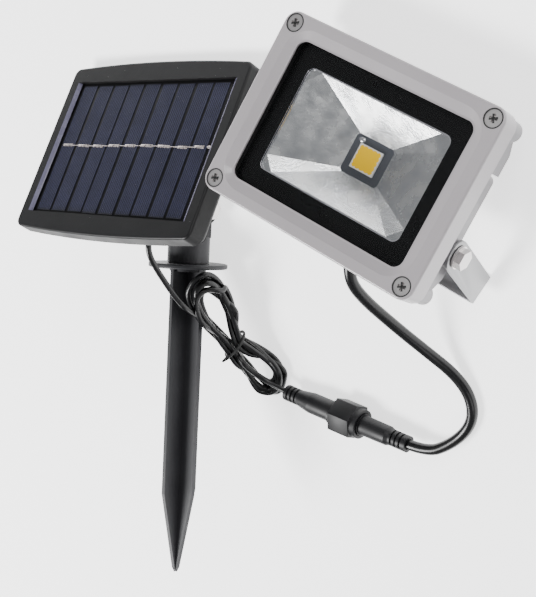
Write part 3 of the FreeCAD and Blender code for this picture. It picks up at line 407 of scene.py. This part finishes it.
# ---- camera ---------------------------------------------------------------------------------
def make_camera():
    data = bpy.data.cameras.new("camera")
    data.lens, data.sensor_width = 79.4, 36.0
    obj = bpy.data.objects.new("camera", data)
    right, up = Vector((0.7195, -0.1969, -0.666)), Vector((-0.0905, 0.9242, -0.371))
    turn = Matrix((right, up, right.cross(up))).transposed().to_4x4()
    obj.matrix_world = Matrix.Translation(Vector((354.4, 126.6, 442.6)) * MM + TABLE) @ turn
    bpy.context.scene.collection.objects.link(obj)
    bpy.context.scene.camera = obj


# ---- leads ----------------------------------------------------------------------------------
CABLE_D, LEAD_D = 5.5 * MM, 3.0 * MM
PLUG_FROM, PLUG_TO = laid(-107.9, -146.1, 8.4), laid(-31.4, -162.4, 8.4)
CABLE_ROUTE = [(-16.4, -47.0, 37.4), (-19.0, -55.6, 40.0), (-20.3, -65.2, 39.0), (-19.2, -75.6, 33.0),
               (-16.6, -87.0, 25.0), (-12.8, -98.8, 17.0), (-7.6, -110.4, 9.6), (0.2, -121.2, 4.6),
               (5.8, -131.4, 2.8), (6.6, -142.4, 2.8), (1.0, -152.2, 3.0), (-8.8, -159.9, 5.6),
               (-19.9, -164.4, 8.2)]
LEAD_ROUTE = [(-134.8, -45.4, 52.1), (-135.3, -50.0, 54.2), (-136.0, -55.6, 53.8), (-136.4, -63.2, 51.2),
              (-136.0, -71.8, 48.0), (-134.4, -80.0, 45.4), (-131.6, -87.0, 43.0)]
TAIL_ROUTE = [(-127.0, -126.4, 18.6), (-124.2, -134.6, 14.0), (-117.8, -141.6, 9.8)]
# The hank from top to bottom: its left and right edge at each step, and half its thickness there.
HANK_EDGES = [((-129.4, -75.0, 35.0), (-123.6, -72.4, 27.0)), ((-136.6, -81.6, 39.5), (-124.0, -80.6, 18.0)),
              ((-136.6, -95.2, 36.5), (-124.4, -95.6, 14.0)), ((-136.6, -108.3, 28.5), (-126.4, -106.0, 12.0)),
              ((-136.4, -122.6, 19.5), (-128.3, -114.3, 11.0)), ((-136.6, -140.0, 13.0), (-116.0, -122.0, 5.4)),
              ((-134.6, -151.8, 6.0), (-109.4, -134.0, 3.8)), ((-127.0, -154.6, 2.8), (-114.6, -147.0, 2.8))]
HANK_HALF_T = (3.6, 4.6, 4.8, 5.0, 5.2, 4.6, 3.6, 2.6)
TIE_AT = 4.0                                   # how far down the hank its tie is
TIE_R, TIE_WIRE = 7.7, 0.75                    # the tie's hoop and half its wire
LAST_EDGE = len(HANK_EDGES) - 1
# Each turn of the hank: how far it reaches up and down, how far out it lies, its layer, and where
# its left and right runs pass through the tie, as across and layer.
TURNS = [(0.15, 6.95, 0.95, 0.9, (-0.9, 0.9), (0.1, 0.9)), (0.9, 6.7, 0.86, -0.9, (-0.4, 0.9), (0.6, 0.9)),
         (1.2, 6.1, 0.55, 0.7, (-0.9, -0.9), (0.1, -0.9)), (0.5, 6.45, 0.68, -0.5, (-0.4, -0.9), (0.6, -0.9))]


def spline_curve(name, points, diameter, material, resolution=10):
    """A cord on one smooth spline through its route."""
    data = bpy.data.curves.new(name, "CURVE")
    data.dimensions = "3D"
    data.bevel_depth, data.bevel_resolution, data.use_fill_caps = diameter / 2, 5, True
    spline = data.splines.new("NURBS")
    spline.points.add(len(points) - 1)
    for point, at in zip(spline.points, points):
        point.co = (*at, 1.0)
    spline.order_u = 3
    spline.use_endpoint_u = True
    data.resolution_u = spline.resolution_u = resolution
    data.materials.append(material)
    obj = bpy.data.objects.new(name, data)
    bpy.context.scene.collection.objects.link(obj)
    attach(obj, LAMP_BODY)
    return obj


def hank_point(s, across, layer):
    """A point in the hank: s down its length, across from left to right, and its layer."""
    k = min(int(s), LAST_EDGE - 1)
    t = s - k
    left = laid(*HANK_EDGES[k][0]).lerp(laid(*HANK_EDGES[k + 1][0]), t)
    right = laid(*HANK_EDGES[k][1]).lerp(laid(*HANK_EDGES[k + 1][1]), t)
    ahead, behind = HANK_EDGES[min(k + 1, LAST_EDGE)], HANK_EDGES[max(k - 1, 0)]
    along = (laid(*ahead[0]) + laid(*ahead[1]) - laid(*behind[0]) - laid(*behind[1])).normalized()
    width = (right - left) / 2
    normal = width.cross(along).normalized()
    room = (HANK_HALF_T[k] * (1 - t) + HANK_HALF_T[min(k + 1, LAST_EDGE)] * t) * MM - LEAD_D / 2
    out = width * across * (1 - LEAD_D / 2 / width.length)
    return (left + right) / 2 + out + normal * layer * max(room, 0.3 * MM)


def hank_run(top, bottom, reach, layer, tied, sign):
    """One run of a turn from top to bottom down one side, drawn in at the tie."""
    run = [(top + 1.1, sign * reach, layer), (2.4, sign * reach, layer)]
    for s, pull in ((3.3, 0.75), (TIE_AT, 1.0), (4.6, 0.8)):
        run.append((s, sign * reach * (1 - pull) + tied[0] * pull, layer * (1 - pull) + tied[1] * pull))
    return run + [(bottom - 0.9, sign * reach, layer)]


def hank_turn(top, bottom, reach, layer, left, right):
    """One turn: over the top, down the left side, round the bottom and up the right side."""
    route = [(top + 0.35, 0.8 * reach, layer), (top, 0.3 * reach, layer), (top, -0.3 * reach, layer),
             (top + 0.35, -0.8 * reach, layer)]
    route += hank_run(top, bottom, reach, layer, left, -1)
    route += [(bottom - 0.25, -0.8 * reach, layer), (bottom, -0.3 * reach, layer), (bottom, 0.3 * reach, layer),
              (bottom - 0.25, 0.8 * reach, layer)]
    route += reversed(hank_run(top, bottom, reach, layer, right, 1))
    return [hank_point(*step) for step in route]


def make_leads():
    cable = [on(LAMP, 4.5, -26.0, -37.0)] + [laid(*p) for p in CABLE_ROUTE] + [PLUG_TO]
    lamp_cable = spline_curve("lamp_cable_run", cable, CABLE_D, cord_pvc)
    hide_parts("lamp_cable")
    start = [on(PANEL, 15.0, -35.0, -21.0)] + [laid(*p) for p in LEAD_ROUTE]
    route = start + [hank_point(s, a, 1.25) for s, a in ((2.4, -0.75), (3.2, -0.7), (4.0, -0.63), (4.8, -0.5),
                                                         (5.6, -0.6))]
    route += [hank_point(s, a, 1.1) for s, a in ((6.5, -0.5), (6.9, -0.1), (6.8, 0.4), (6.3, 0.75), (5.6, 0.8),
                                                 (4.8, 0.6), (4.0, 0.5), (3.2, 0.6), (2.3, 0.8), (1.3, 0.85))]
    for turn in TURNS:
        route += hank_turn(*turn)
    route += [hank_point(s, a, 1.2) for s, a in ((0.95, 0.5), (0.8, 0.0), (1.2, -0.5), (2.0, -0.6), (3.0, -0.5),
                                                 (4.0, -0.35))]
    route += [laid(*p) for p in TAIL_ROUTE] + [PLUG_FROM]
    lead = spline_curve("thin_lead_run", route, LEAD_D, cord_pvc, resolution=7)
    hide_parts("panel_lead", "cord_hank", "plug_lead")


def make_tie():
    """A thin wire tie round the hank's waist, its two ends twisted out at one side."""
    middle = hank_point(TIE_AT, 0, 0)
    side = (hank_point(TIE_AT, 1, 0) - hank_point(TIE_AT, -1, 0)).normalized()
    normal = (hank_point(TIE_AT, 0, 1) - middle).normalized()
    along = side.cross(normal)
    place = Matrix.Translation(middle) @ Matrix((side, normal, along)).transposed().to_4x4()
    bm = bmesh.new()
    add_hoop(bm, TIE_R, TIE_WIRE)
    for v in bm.verts:
        v.co.y *= 0.9
        v.co.z += v.co.x * 0.1
    for turn, length in ((2.6, 5.2), (3.3, 4.0)):
        end = add_block(bm, (length, 1.2, 1.2), (0, 0, 0), 0, 0.5)
        bmesh.ops.rotate(bm, cent=(0, 0, 0), matrix=Matrix.Rotation(turn, 3, "Z"), verts=end)
        bmesh.ops.translate(bm, vec=Vector((-9.6, -0.8 + (turn - 2.9) * 1.6, -1.9)) * MM, verts=end)
    piece("hank_tie", bm, LAMP_BODY, seal_rubber, place, ("cord_tie",))


# ---- lamp face ------------------------------------------------------------------------------
def make_lamp_face():
    bm = bmesh.new()
    add_ring(bm, [(96.0, 68.8, 5.0, -5.52), (96.0, 68.8, 5.0, -5.7), (76.0, 48.4, 3.6, -5.7),
                  (75.8, 48.2, 3.5, -5.52)])
    piece("glass_border", bm, LAMP_BODY, border_print, LAMP)
    bm = bmesh.new()
    add_ring(bm, [(77.6, 50.0, 4.2, -5.9), (77.6, 50.0, 4.2, -6.9), (74.6, 46.8, 3.4, -7.2),
                  (75.0, 47.2, 3.4, -6.3), (76.2, 48.4, 3.6, -6.2), (76.4, 48.6, 3.8, -5.9)])
    piece("reflector_lip", bm, LAMP_BODY, rim_metal, LAMP)
    bm = bmesh.new()
    # Painted shade: a dark ring round each screw head stands for the shadowed gap, and a dark cross in each
    # head stands for the shade in its recess.
    for x, y in FRAME_SCREWS:
        for v in add_hoop(bm, 3.95, 0.3, (x, y, 0.0), 40):
            v.co.z = v.co.z * 0.5 + SHADE_RING_LIFT * MM
    for x, y in FRAME_SCREWS:
        for turn in (RECESS_TURN, RECESS_TURN + math.pi / 2):
            bar = add_block(bm, (3.9, 0.85, 0.1), (0, 0, 0), turn, 0.04)
            bmesh.ops.translate(bm, vec=Vector((x, y, RECESS_Z)) * MM, verts=bar)
    piece("screw_painted_shade_rings", bm, LAMP_BODY, seal_rubber, LAMP)
    bm = bmesh.new()
    pad = bmesh.ops.edgeloop_fill(bm, edges=rounded_loop(bm, 11.2, 10.2, 1.6, -19.3))["faces"]
    made = bmesh.ops.extrude_face_region(bm, geom=pad)["geom"]
    top = [g for g in made if isinstance(g, bmesh.types.BMVert)]
    bmesh.ops.translate(bm, vec=(0, 0, 0.25 * MM), verts=top)
    bmesh.ops.recalc_face_normals(bm, faces=bm.faces)
    piece("phosphor_pad", bm, LAMP_BODY, chip_yellow, LAMP, ("led_phosphor",))
    bm = bmesh.new()
    for side in (-1, 1):
        for step in (-3.3, -1.2, 1.0, 3.1):
            add_block(bm, (0.55, 0.75, 0.2), (side * 5.5, step, -19.05))
            add_block(bm, (0.75, 0.55, 0.2), (step * 1.1, side * 5.0, -19.05))
    piece("chip_notches", bm, LAMP_BODY, chip_white, LAMP)
    bm = bmesh.new()
    drop = bmesh.ops.create_uvsphere(bm, u_segments=20, v_segments=10, radius=1.5 * MM)["verts"]
    bmesh.ops.scale(bm, vec=(1.2, 0.8, 0.45), verts=drop)
    bmesh.ops.translate(bm, vec=Vector((-6.6, 6.9, -20.0)) * MM, verts=drop)
    piece("chip_solder", bm, LAMP_BODY, rim_metal, LAMP)


# ---- panel face -----------------------------------------------------------------------------
def make_panel_face():
    rng = random.Random(11)
    sheet, cells, fingers, ribbon = bmesh.new(), bmesh.new(), bmesh.new(), bmesh.new()
    add_block(sheet, (115.2, 74.4, 0.3), (0, 0, -2.05), 0, 0.05)
    pitch, count, length = 12.45, 9, 71.6
    finger_count, jumper_gap = 8, 5.5
    last = None
    for k in range(count):
        x = (k - (count - 1) / 2) * pitch + rng.uniform(-0.35, 0.35)
        width = 10.7 + rng.uniform(-0.5, 0.3)
        turn = rng.uniform(-0.004, 0.004)
        add_block(cells, (width, length + rng.uniform(-0.6, 0.3), 0.25), (x, 0, -1.78), turn)
        for j in range(finger_count):
            at = x + (j - 3.5) * width / 8.2
            add_block(fingers, (0.13, length - 1.4, 0.05), (at, 0, -1.635), turn)
        y = 1.2 + rng.uniform(-0.35, 0.35)
        long = width * rng.uniform(0.62, 0.86)
        add_block(ribbon, (long, 1.35, 0.22), (x + rng.uniform(-0.6, 0.8), y, -1.5),
                  rng.uniform(-0.03, 0.03), 0.08)
        if last:
            add_block(ribbon, (pitch - jumper_gap, 0.42, 0.2), ((x + last[0]) / 2, (y + last[1]) / 2, -1.52),
                      rng.uniform(-0.02, 0.02), 0.08)
        last = (x, y)
    drop = bmesh.ops.create_uvsphere(ribbon, u_segments=16, v_segments=8, radius=0.9 * MM)["verts"]
    bmesh.ops.scale(ribbon, vec=(1.5, 0.8, 0.4), verts=drop)
    bmesh.ops.translate(ribbon, vec=Vector((last[0] + 6.6, last[1], -1.5)) * MM, verts=drop)
    piece("cell_back_sheet", sheet, LAMP_BODY, sheet_black, PANEL, ("cell_cover",))
    piece("silicon_cells", cells, LAMP_BODY, cell_blue, PANEL, ("solar_cells",))
    piece("cell_fingers", fingers, LAMP_BODY, finger_ink, PANEL)
    piece("cell_ribbon", ribbon, LAMP_BODY, solder, PANEL)
    # Painted reflection: pale strips on the left and right chamfers of the black window, standing for the
    # bright surroundings they mirror.
    bm = bmesh.new()
    for side in (-1, 1):
        strip = add_block(bm, (2.5, 74.2, 0.16), (0, 0, 0), 0, 0.05)
        lean = Matrix.Rotation(-side * math.atan2(1.4, 2.2), 3, "Y")
        bmesh.ops.rotate(bm, cent=(0, 0, 0), matrix=lean, verts=strip)
        bmesh.ops.translate(bm, vec=Vector((side * 58.72, 0, -0.66)) * MM, verts=strip)
    piece("window_chamfers", bm, LAMP_BODY, chamfer_painted_reflection, PANEL)


# ---- stage ----------------------------------------------------------------------------------
def make_stage():
    bm = bmesh.new()
    bmesh.ops.create_grid(bm, x_segments=1, y_segments=1, size=6.0)
    mesh = bpy.data.meshes.new("floor")
    bm.to_mesh(mesh)
    bm.free()
    floor = bpy.data.objects.new("floor", mesh)
    floor.location.z = min(cad_low.z, 0.0) - 0.0002
    bpy.context.scene.collection.objects.link(floor)
    mat = bpy.data.materials.new("floor_white")
    mat.use_nodes = True
    bsdf = mat.node_tree.nodes["Principled BSDF"]
    bsdf.inputs["Base Color"].default_value = (0.9, 0.9, 0.9, 1)
    bsdf.inputs["Roughness"].default_value = 0.9
    bsdf.inputs["Specular IOR Level"].default_value = 0.1
    bsdf.inputs["Emission Color"].default_value = (1, 1, 1, 1)
    bsdf.inputs["Emission Strength"].default_value = 1.7
    mesh.materials.append(mat)
    world = bpy.data.worlds.new("studio")
    world.use_nodes = True
    world.node_tree.nodes["Background"].inputs["Color"].default_value = (0.95, 0.97, 1.0, 1)
    world.node_tree.nodes["Background"].inputs["Strength"].default_value = 0.42
    bpy.context.scene.world = world
    for name, at, energy, size in (("key", (-0.75, -0.35, 1.25), 42, 0.6), ("fill", (1.25, -0.55, 0.8), 4, 0.8),
                                   ("side", (0.9, 1.2, 0.9), 10, 0.5)):
        data = bpy.data.lights.new(name, "AREA")
        data.energy, data.size = energy, size
        light = bpy.data.objects.new(name, data)
        aim = Vector(at).to_track_quat("Z", "Y").to_matrix().to_4x4()
        light.matrix_world = Matrix.Translation(Vector(at)) @ aim
        bpy.context.scene.collection.objects.link(light)


make_camera()
make_leads()
make_tie()
make_lamp_face()
make_panel_face()
rounded_copy("bracket", strap_metal, 0.3)
rounded_copy("coupling_nut", plug_rubber, 0.25)
make_stage()
